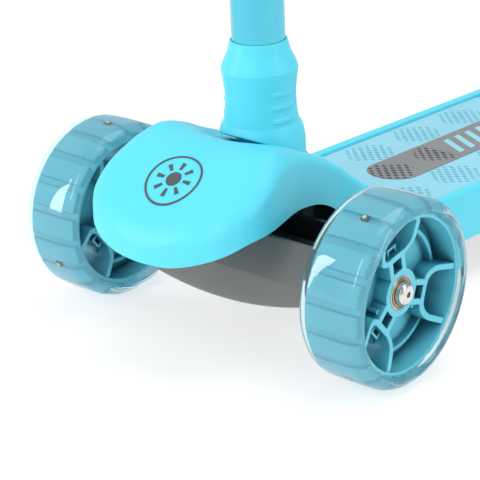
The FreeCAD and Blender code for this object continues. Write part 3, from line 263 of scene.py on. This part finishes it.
def at_y(points, y):
    """A smooth curve through (y, value) points, read at y."""
    i = max(k for k in range(len(points) - 1) if y >= points[k][0] or k == 0)
    (y0, v0), (y1, v1) = points[i], points[i + 1]
    def slope(k):
        a, b = points[max(k - 1, 0)], points[min(k + 1, len(points) - 1)]
        return (b[1] - a[1]) / (b[0] - a[0])
    t, gap = min(max((y - y0) / (y1 - y0), 0), 1), y1 - y0
    return ((2 * t**3 - 3 * t**2 + 1) * v0 + (t**3 - 2 * t**2 + t) * gap * slope(i)
            + (3 * t**2 - 2 * t**3) * v1 + (t**3 - t**2) * gap * slope(i + 1))


def deck_half(y):
    """Half width of the deck, which draws in round the rear wheel."""
    t = min(max((y - deck_straight) / (deck_tail - 12 - deck_straight), 0), 1)
    ease = t * t * (3 - 2 * t)
    corner = max(0, (y - (deck_tail - 10)) / 10)
    return rim_half + (tail_half - rim_half) * ease - 8 * (1 - math.sqrt(max(0, 1 - corner**2)))


def shell_section(y):
    """Right half of the shell's outline at y: (x, z) from the middle of the top to the lower edge."""
    if y > 108.02:
        half = deck_half(y)
        inner = half - (rim_half - groove)
        return ([(inner * k / 8, pad_floor) for k in range(8)] + [(inner, pad_floor), (inner + 0.5, deck_top - 0.4),
                (inner + 1.2, deck_top), (half - 5, deck_top)]
                + [(half - 3 + 3 * math.sin(a), deck_top - 3 + 3 * math.cos(a)) for a in
                   [math.radians(d) for d in (0, 25, 50, 75, 90)]]
                + [(half, deck_low + (deck_top - 3 - deck_low) * k / 4) for k in (3, 2, 1, 0)])
    half, share = at_y(nose_half, y), 0.82
    ridge, start, side = at_y(nose_ridge, y), at_y(nose_shoulder, y), at_y(nose_side, y)
    radius = min(9.0, half * (1 - share) * 0.85)
    fall = (side - start) / (half * (1 - share))
    meet = math.pi / 2 + math.atan(fall)
    meet_x = half - radius + radius * math.cos(meet)
    centre = start + fall * (meet_x - half * share) - radius * math.sin(meet)
    low = min(at_y(nose_low, y), centre - 1)
    crown = [(half * share * k / 11, ridge + (start - ridge) * (k / 11) ** 2.4) for k in range(12)]
    arc = [(half - radius + radius * math.cos(meet * p), centre + radius * math.sin(meet * p)) for p in
           (1, 0.75, 0.5, 0.25, 0)]
    side_wall = [(half, centre + (low - centre) * k / 4) for k in (1, 2, 3, 4)]
    nose = crown + arc + side_wall
    blend = min(max((y - 84) / 24, 0), 1)
    blend = blend * blend * (3 - 2 * blend)
    deck = shell_section(109)
    mixed = []
    for k, ((nx, nz), (dx, dz)) in enumerate(zip(nose, deck)):
        target = at_y(nose_ridge, y) if k < 9 else dz
        mixed.append((nx + (dx - nx) * blend, nz + (target - nz) * blend))
    return mixed


stations = ([-92.5, -92.2, -91.6, -90.5, -89, -87] + [-84.5 + 3.5 * k for k in range(55)] + [107.96, 108.06]
            + [112 + 16 * k for k in range(17)] + [384 + 6 * k for k in range(14)] + [466, 470, 473, 475, 476])
columns = 2 * len(shell_section(200)) - 1
bpy.ops.mesh.primitive_grid_add(x_subdivisions=columns - 1, y_subdivisions=len(stations) - 1, size=1)
shell = bpy.context.object
shell.name = "nose_and_deck"
sections = [shell_section(y) for y in stations]
middle = (columns - 1) // 2
for v in shell.data.vertices:
    i, j = round((v.co.x + 0.5) * (columns - 1)), round((v.co.y + 0.5) * (len(stations) - 1))
    x, z = sections[j][abs(i - middle)]
    v.co = Vector((math.copysign(x, i - middle) * MM, front_y + stations[j] * MM, z * MM))


def apply(piece, kind, **settings):
    """Adds a modifier and applies it."""
    bpy.ops.object.select_all(action="DESELECT")
    piece.select_set(True)
    bpy.context.view_layer.objects.active = piece
    modifier = piece.modifiers.new(kind.lower(), kind)
    for name, value in settings.items():
        setattr(modifier, name, value)
    bpy.ops.object.modifier_apply(modifier=modifier.name)


def smooth(piece, angle=30):
    bpy.ops.object.select_all(action="DESELECT")
    piece.select_set(True)
    bpy.context.view_layer.objects.active = piece
    bpy.ops.object.shade_smooth_by_angle(angle=math.radians(angle))


def clean(piece, apart=0.00002):
    """Merges doubles and turns every face outwards."""
    bpy.ops.object.select_all(action="DESELECT")
    piece.select_set(True)
    bpy.context.view_layer.objects.active = piece
    bpy.ops.object.mode_set(mode="EDIT")
    bpy.ops.mesh.select_all(action="SELECT")
    bpy.ops.mesh.remove_doubles(threshold=apart)
    bpy.ops.mesh.normals_make_consistent(inside=False)
    bpy.ops.object.mode_set(mode="OBJECT")


# close the tip and the tail, then give the skin its wall
bpy.ops.object.mode_set(mode="EDIT")
for row in (0, len(stations) - 1):
    bpy.ops.mesh.select_all(action="DESELECT")
    bpy.ops.object.mode_set(mode="OBJECT")
    for v in shell.data.vertices:
        v.select = abs(v.co.y - front_y - stations[row] * MM) < 1e-6
    bpy.ops.object.mode_set(mode="EDIT")
    bpy.ops.mesh.select_mode(type="VERT")
    bpy.ops.mesh.edge_face_add()
bpy.ops.object.mode_set(mode="OBJECT")
soft = shell.vertex_groups.new(name="soft")
for v in shell.data.vertices:
    i, j = v.index % columns, v.index // columns
    if 6 < j and v.co.y < front_y + 88 * MM and 6 <= i < columns - 6:
        soft.add([v.index], 1.0, "REPLACE")
apply(shell, "SMOOTH", factor=0.5, iterations=6, vertex_group="soft")
for v in shell.data.vertices:
    share = min(max((50 - math.hypot(v.co.x, v.co.y - front_y - 23.3 * MM) / MM) / 21, 0), 1)
    ahead = min(max((24 - (v.co.y - front_y) / MM) / 16, 0), 1)
    if v.co.z > 95 * MM:
        v.co.z -= 4.4 * share * share * (3 - 2 * share) * ahead * MM
apply(shell, "SOLIDIFY", thickness=2.8 * MM, offset=-1)


def cut_away(piece, cutter):
    apply(piece, "BOOLEAN", operation="DIFFERENCE", object=cutter, solver="FAST")
    bpy.data.objects.remove(cutter)


lean = math.radians(3.5)
foot = Vector((0, front_y + 23.3 * MM, 113 * MM))
up_stem = Vector((0, -math.sin(lean), math.cos(lean)))
bpy.ops.mesh.primitive_cylinder_add(vertices=96, radius=24 * MM, depth=80 * MM, location=foot,
                                    rotation=(lean, 0, 0))
cut_away(shell, bpy.context.object)
for half, y0, y1, z0, z1 in ((16.1, 0.4, 58, 60, 150), (19, -22, 55, 60, 100.4), (30.3, 383.7, 480, 20, 80)):
    bpy.ops.mesh.primitive_cube_add(size=1, location=(0, front_y + (y0 + y1) / 2 * MM, (z0 + z1) / 2 * MM),
                                    scale=(2 * half * MM, (y1 - y0) * MM, (z1 - z0) * MM))
    cut_away(shell, bpy.context.object)
axle_low, axle_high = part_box("rear_bearings")
rear_axle = (axle_low + axle_high) / 2
bpy.ops.mesh.primitive_cylinder_add(vertices=48, radius=9 * MM, depth=0.2, location=rear_axle,
                                    rotation=(0, math.pi / 2, 0))
cut_away(shell, bpy.context.object)
smooth(shell, 35)
shell.data.materials.append(moulded_blue("blue moulding"))
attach(shell, "root")
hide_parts("nose_cover", "deck_shell")

# Grip pad: frosted soft plastic laid in the deck, with groups of small round pits, and a grey
# printed panel along its middle with darker pits and plain slanted bars.
pit_pitch, group_pitch = 3.75, 59.5


def pits(finish, x, y, columns, first):
    """How deep a pit is: one in its middle. Groups of pits stand in columns, smaller to their edge."""
    away = abs(abs(x) - columns)
    along = abs(((y - first) + group_pitch / 2) % group_pitch - group_pitch / 2)
    inside = away / 22.0 + along / 28.0
    edge = finish.larger(away / 16.5, finish.larger(along / 21.0, inside))
    u, v = (x + y) / (pit_pitch * 2), (x - y) / (pit_pitch * 2)
    gap_u = abs((u % 1.0) - 0.5)
    gap_v = abs((v % 1.0) - 0.5)
    apart = ((gap_u * gap_u + gap_v * gap_v) ** 0.5) * (pit_pitch * 1.414)
    size = 1.72 - edge * 0.38
    return finish.near(apart - size, 0.0, 0.22) * (edge < 1.0)


frosted = Finish("frosted pad", ior=1.45)
at = frosted.place((0, front_y, 0))
x, y, z = frosted.axes(at)
grain = frosted.noise(at, 1.8, 3.0, 0.6)
cloud = frosted.noise(at, 0.02, 2.0)
pit = pits(frosted, x, y, 37.0, 131.0)
pad_colour = frosted.between(cloud, (0.265, 0.62, 0.77), (0.30, 0.67, 0.81))
pad_colour = frosted.between(pit, pad_colour, (0.075, 0.48, 0.68))
paint(frosted.finish(pad_colour, 0.42 + grain * 0.16, grain * 0.08 - pit, 0.0011), "deck_pad")

panel = Finish("grey panel", ior=1.45)
at = panel.place((0, front_y, 0))
x, y, z = panel.axes(at)
grain = panel.noise(at, 1.8, 3.0, 0.6)
pit = pits(panel, x, y, 0.0, 164.0)
plain = panel.near(abs(y - 278.0), 50.0, 0.3)
slanted = (y + x * 0.6) % 14.0
bars = panel.near(abs(slanted - 7.0), 3.2, 0.25) * panel.near(abs(x), 12.5, 0.3)
bars = bars * panel.near(abs(y + x * 0.6 - 280.0), 42.0, 0.1)
pit = pit * (1.0 - plain)
grey = panel.between(panel.noise(at, 0.03), (0.205, 0.215, 0.225), (0.25, 0.26, 0.27))
grey = panel.between(bars, grey, (0.29, 0.66, 0.79))
grey = panel.between(pit, grey, (0.010, 0.011, 0.012))
paint(panel.finish(grey, 0.45 + grain * 0.16, grain * 0.08 - pit, 0.0010), "deck_panel")

# Badge: a thin dark ring round a plain sun, printed on the nose's front slope and bent to it.
ink = Finish("badge ink", ior=1.45)
at = ink.place()
ink_material = ink.finish(ink.between(ink.noise(at, 0.6), (0.070, 0.072, 0.080), (0.095, 0.098, 0.105)), 0.42,
                          ink.noise(at, 3.0), 0.00002)
badge_y, badge_fall = -61.0, math.radians(35.0)
badge_parts = []
marks = [(17.8, 19.2, 0, 360, 2, 120), (0.02, 5.2, 0, 360, 5, 48)]
marks += [(7.5, 13.0, 45 * k - 6.5, 45 * k + 6.5, 5, 4) for k in range(8)]
for r0, r1, a0, a1, rings, sides in marks:
    bpy.ops.mesh.primitive_grid_add(x_subdivisions=rings, y_subdivisions=sides, size=1)
    mark = bpy.context.object
    for v in mark.data.vertices:
        r, a = r0 + (r1 - r0) * (v.co.x + 0.5), math.radians(a0 + (a1 - a0) * (v.co.y + 0.5))
        x, y = r * math.cos(a) * MM, front_y + (badge_y + r * math.sin(a) * math.cos(badge_fall)) * MM
        hit, place, _, _ = shell.ray_cast(Vector((x, y, 0.3)), Vector((0, 0, -1)))
        v.co = place + Vector((0, -math.sin(badge_fall), math.cos(badge_fall))) * 0.1 * MM
    clean(mark, 0.000008)
    apply(mark, "SOLIDIFY", thickness=0.45 * MM, offset=0)
    badge_parts.append(mark)
bpy.ops.object.select_all(action="DESELECT")
for mark in badge_parts:
    mark.select_set(True)
bpy.context.view_layer.objects.active = badge_parts[0]
bpy.ops.object.join()
badge = bpy.context.object
badge.name = "badge"
clean(badge, 0.000001)
smooth(badge, 40)
badge.data.materials.append(ink_material)
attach(badge, "root")
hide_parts("nose_badge")

# Front truck cover: a boat-shaped grey moulding with a fine texture, with painted shade that turns it near black in
# the hollows and under the nose.
truck_grey = Finish("grey moulding", ior=1.45)
at = truck_grey.place()
cloud = truck_grey.noise(at, 0.03, 3.0)
fine = truck_grey.noise(at, 2.2, 3.0, 0.6)
grey = truck_grey.between(cloud, (0.142, 0.146, 0.140), (0.170, 0.174, 0.167))
x, y, z = truck_grey.axes(truck_grey.place((0, front_y, 0)))
# painted shade: near black where the cover is closed in, and behind its front also where it is half open under the
# nose
free = truck_grey.open_share(0.05, False)
painted_shade = truck_grey.larger(truck_grey.near(free, 0.30, 0.14), truck_grey.near(free, 0.62, 0.15) * (y > -17.0))
grey = truck_grey.between(painted_shade, grey, (0.008, 0.008, 0.008))
paint(truck_grey.finish(grey, 0.40 + fine * 0.2, fine, 0.00005, 0.0012), "truck_shell")

# Wheels: a moulded blue core with a clear cast tyre round it. The tyre shows the blocks on the
# core's rim, and three small bulbs stand in it. The hub holds two ball bearings.
tyre_depth, tyre_seat, tyre_shoulder, tyre_drop = 10.0, 4.7, 10.0, 8.5


def tyre_outline(radius, half):
    """(across, radius) points round the tyre's section; its inside lies just within the core's rim."""
    points = [(half - tyre_seat - 1.4, radius - tyre_depth - 1.7), (half - tyre_seat + 0.4, radius - tyre_depth - 0.5),
              (half - 2.2, radius - tyre_drop - 0.8), (half - 0.7, radius - tyre_drop - 0.1)]
    for t in (0.04, 0.1, 0.2, 0.3, 0.4, 0.5, 0.6, 0.7, 0.8, 0.9, 1.0):
        across = half - tyre_shoulder * (1 - math.cos(t * math.pi / 2))
        points.append((across, radius - 0.4 - (tyre_drop - 0.4) * (1 - math.sin(t * math.pi / 2))))
    points.append(((half - tyre_shoulder) / 2, radius - 0.1))
    return points + [(0, radius)] + [(-a, r) for a, r in reversed(points)]


def spun_piece(name, outline, centre, steps=160):
    """A piece turned about an axle along X, from a closed outline of (across, radius) in millimetres."""
    bpy.ops.mesh.primitive_circle_add(vertices=len(outline), radius=1)
    piece = bpy.context.object
    piece.name = name
    for v, (across, radius) in zip(piece.data.vertices, outline):
        v.co = Vector((centre.x + across * MM, centre.y, centre.z + radius * MM))
    bpy.ops.object.mode_set(mode="EDIT")
    bpy.ops.mesh.select_all(action="SELECT")
    bpy.ops.mesh.spin(steps=steps, angle=2 * math.pi, center=centre, axis=(1, 0, 0))
    bpy.ops.object.mode_set(mode="OBJECT")
    clean(piece)
    smooth(piece, 50)
    return piece


clear = Finish("clear tyre", ior=1.42, transmission_weight=0.93)
at = clear.place()
haze = clear.noise(at, 0.04, 2.0)
clear_material = clear.finish(clear.between(haze, (0.72, 0.925, 0.96), (0.80, 0.955, 0.98)), 0.03 + haze * 0.03)

for wheel in ("front_left", "front_right", "rear"):
    low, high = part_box(wheel + "_bearings")
    centre = (low + high) / 2
    tyre_low, tyre_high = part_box(wheel + "_tyre")
    radius, half = (tyre_high.z - tyre_low.z) / 2 / MM, (tyre_high.x - tyre_low.x) / 2 / MM
    tyre = spun_piece(wheel + "_clear_tyre", tyre_outline(radius, half), centre)
    tyre.data.materials.append(clear_material)
    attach(tyre, wheel + "_wheel")
    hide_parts(wheel + "_tyre")

    core = Finish(wheel + " core blue", ior=1.46)
    at = core.place(centre)
    x, y, z = core.axes(at)
    cloud = core.noise(at, 0.05, 2.0)
    # painted shade: inside the tyre's seat the core goes to dark teal where its own hollows close round it
    inside = core.near((y * y + z * z) ** 0.5, radius - tyre_depth - 1.2, 0.7)
    painted_shade_share = core.near(core.open_share(0.022), 0.55, 0.34) * inside
    open_blue = core.between(cloud, (0.125, 0.60, 0.76), (0.155, 0.66, 0.81))
    paint(core.finish(core.between(painted_shade_share, open_blue, (0.016, 0.155, 0.235)), 0.30 + cloud * 0.12,
                      core.noise(at, 2.4), 0.00002, 0.001), wheel + "_core")

    shield = Finish(wheel + " bearing", metallic=1.0)
    x, y, z = shield.axes(shield.place(centre))
    r = (y * y + z * z) ** 0.5
    bronze = shield.between(shield.near(r, 9.7, 0.1), (0.62, 0.60, 0.57), (0.46, 0.38, 0.24))
    bronze = shield.between(shield.near(r, 6.0, 0.1), bronze, (0.30, 0.25, 0.18))
    grooves = abs((r % 1.9) - 0.95)
    paint(shield.finish(bronze, 0.28, grooves, 0.0005), wheel + "_bearings")

    bulb = Finish(wheel + " bulb", ior=1.5)
    x, y, z = bulb.axes(bulb.place(centre))
    r = (y * y + z * z) ** 0.5
    tip = bulb.near(r, radius - tyre_depth + 4.6, 0.2)
    paint(bulb.finish(bulb.between(tip, (0.95, 0.92, 0.70), (0.05, 0.09, 0.09)), 0.25, bulb.noise(bulb.place(), 1.0),
                      0.0001), wheel + "_lights")

# Bolts, washers, nuts and pins: bright rolled steel with a faint turned grain.
steel = Finish("bright steel", metallic=1.0)
at = steel.place()
wear = steel.noise(at, 0.4, 3.0)
paint(steel.finish(steel.between(wear, (0.62, 0.61, 0.59), (0.78, 0.77, 0.75)), 0.13 + wear * 0.12,
                   steel.noise(at, 2.0), 0.00001, 0.0003),
      "front_axle_bolts", "front_axle_washers", "rear_axle_bolt", "rear_axle_nut", "kingpin", "kingpin_washer",
      "kingpin_nut", "fold_pin", "brake_pin", "clamp_bolt", "clamp_nut", "lever_pin", "lock_spring", "brake_spring",
      "deck_screws")

alloy = Finish("spacer alloy", metallic=1.0)
at = alloy.place()
paint(alloy.finish(alloy.between(alloy.noise(at, 0.5), (0.52, 0.53, 0.54), (0.64, 0.65, 0.66)), 0.35,
                   alloy.noise(at, 2.0), 0.00002),
      "front_left_spacer", "front_right_spacer", "rear_spacer", "rear_axle_spacers")

# Frame under the covers: a cast head and fold base, the axle beam, the spine and the fork, all
# with a dark powder coat.
casting = Finish("dark casting", ior=1.5)
at = casting.place()
orange_peel = casting.noise(at, 0.9, 2.0)
paint(casting.finish(casting.between(casting.noise(at, 0.05), (0.010, 0.011, 0.012), (0.018, 0.019, 0.020)),
                     0.45 + orange_peel * 0.15, orange_peel, 0.0001, 0.0006),
      "axle_beam", "head_frame", "fold_base", "stem_knuckle", "deck_spine", "rear_fork")

# Steering bushes, floor, slide bush and brake pad: black moulded plastic and rubber.
black = Finish("black moulding", ior=1.45)
at = black.place()
speck = black.noise(at, 1.5, 3.0)
paint(black.finish(black.between(speck, (0.012, 0.012, 0.013), (0.024, 0.024, 0.025)), 0.5 + speck * 0.15, speck,
                   0.00008, 0.0005),
      "deck_floor", "steering_bushes", "slide_bush", "upper_tube_plug", "brake_pad", "bar_end_caps", "bar_tee")

# Lock collar: a waisted sleeve of the same blue plastic round the stem's foot, with a sharp
# shoulder ring, a flange cut to the slope of the nose and three finger ribs on each side.
collar_upper = [(60, 24.3), (62.8, 23.6), (66.8, 21.8), (70.5, 20.1), (74, 19.1), (77.6, 18.3), (78.5, 17.7)]
collar_waist = [(26, 23.9), (31.5, 23.1), (38, 22.6), (45, 22.6), (51, 23.2), (57.5, 24.1), (60, 24.4)]
collar_flange = [(-12, 27.8), (13, 27.7), (17, 27.3), (20.5, 26.6), (23.5, 25.4), (26, 23.9)]
foot_front, foot_fall, bore, hollow, neck = (2.0, 130.0), -17 / 39, 17.08, 20.4, 52.0
rib_heights, rib_side = (47.0, 38.5, 30.0), math.radians(-9)
collar_columns = 180


def collar_radius(h):
    table = collar_upper if h > 60 else collar_waist if h > 26 else collar_flange
    return at_y(table, h)


def foot_height(r, a):
    """Height along the stem at which the sloping foot lies, at a radius and an angle from +X."""
    across = r * math.sin(a)
    level = foot_front[1] + foot_fall * (23.3 + across * math.cos(lean) - foot_front[0])
    return (level - 113 - across * math.sin(lean)) / (math.cos(lean) + foot_fall * math.sin(lean))


def collar_column(a):
    """(height, radius) points down the outside at one angle, across the foot and up the bore."""
    edge = 10.0
    for _ in range(12):
        edge = foot_height(collar_radius(edge), a)
    heights = [78.5, 78.0, 77.2] + [76 - 2 * k for k in range(9)] + [60.01, 59.99] + [58 - 1.5 * k for k in range(5)]
    heights += [50.5 - 0.5 * k for k in range(49)] + [26.01, 25.99]
    heights += [25.99 + (edge + 0.9 - 25.99) * k / 10 for k in range(1, 11)]
    points = []
    for h in heights:
        r = collar_radius(h)
        for side in (rib_side, math.pi - rib_side):
            off = abs((a - side + math.pi) % (2 * math.pi) - math.pi) * r
            for rib in rib_heights:
                rise = min(max((9.5 - off) / 1.2, 0), 1) * min(max((1.9 - abs(h - rib)) / 1.0, 0), 1)
                r += 0.9 * rise * rise * (3 - 2 * rise)
        points.append((h, r))
    r = collar_radius(edge)
    points += [(edge + 0.3, r - 0.15), (foot_height(r - 0.8, a), r - 0.8), (foot_height(hollow, a), hollow)]
    return points + [(neck, hollow), (neck, bore), (78.3, bore), (78.5, bore + 0.3)]


rows = len(collar_column(0))
bpy.ops.mesh.primitive_grid_add(x_subdivisions=rows - 1, y_subdivisions=collar_columns, size=1)
collar = bpy.context.object
collar.name = "lock_collar_sleeve"
columns_of_points = [collar_column(2 * math.pi * k / collar_columns) for k in range(collar_columns + 1)]
for v in collar.data.vertices:
    i, j = round((v.co.x + 0.5) * (rows - 1)), round((v.co.y + 0.5) * collar_columns)
    h, r = columns_of_points[j][i]
    a = 2 * math.pi * j / collar_columns
    v.co = foot + up_stem * h * MM + Vector((math.cos(a), math.sin(a) * math.cos(lean), math.sin(a) * math.sin(lean))) * r * MM
bpy.ops.object.mode_set(mode="EDIT")
bpy.ops.mesh.select_all(action="DESELECT")
bpy.ops.object.mode_set(mode="OBJECT")
clean(collar, 0.000002)
bpy.ops.object.mode_set(mode="EDIT")
bpy.ops.mesh.select_all(action="DESELECT")
bpy.ops.mesh.select_non_manifold(extend=False)
bpy.ops.mesh.bridge_edge_loops()
bpy.ops.object.mode_set(mode="OBJECT")
clean(collar, 0.000002)
bpy.ops.mesh.primitive_cube_add(size=1, location=(0, front_y + 56 * MM, 58.75 * MM), scale=(32.2 * MM, 65.4 * MM, 117.5 * MM))
cut_away(collar, bpy.context.object)
smooth(collar, 14)
collar.data.materials.append(moulded_blue("collar blue"))
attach(collar, "collar")
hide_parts("lock_collar")

# Brake fender: the same blue plastic, curved over the rear wheel.
paint(moulded_blue("fender blue", 0.0012), "brake_fender")

# Stem tube: steel with a satin metallic light-blue paint.
painted = Finish("blue metal", metallic=0.85, coat_weight=0.3, coat_roughness=0.15)
at = painted.place()
flake = painted.noise(at, 3.0, 2.0)
paint(painted.finish(painted.between(flake, (0.065, 0.47, 0.62), (0.11, 0.58, 0.73)), 0.15 + flake * 0.08, flake,
                     0.00001), "lower_tube", "clamp_band", "crossbar")

# Upper tube: bright anodised aluminium.
tube = Finish("anodised tube", metallic=1.0)
at = tube.place()
drawn = tube.noise(at, 0.3, 2.0)
paint(tube.finish(tube.between(drawn, (0.60, 0.61, 0.63), (0.72, 0.73, 0.75)), 0.24 + drawn * 0.06, drawn, 0.00001),
      "upper_tube")

# Clamp lever: black glossy plastic.
lever = Finish("lever plastic", ior=1.5)
at = lever.place()
paint(lever.finish(lever.between(lever.noise(at, 0.2), (0.012, 0.012, 0.013), (0.022, 0.022, 0.024)), 0.28,
                   lever.noise(at, 2.0), 0.00003, 0.0008), "clamp_lever")

# Grips: soft blue-grey rubber sleeves.
rubber = Finish("grip rubber", ior=1.45)
at = rubber.place()
speck = rubber.noise(at, 1.4, 3.0)
paint(rubber.finish(rubber.between(speck, (0.030, 0.032, 0.036), (0.045, 0.048, 0.052)), 0.62 + speck * 0.1, speck,
                    0.0001, 0.0006), "left_grip", "right_grip")

low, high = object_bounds()
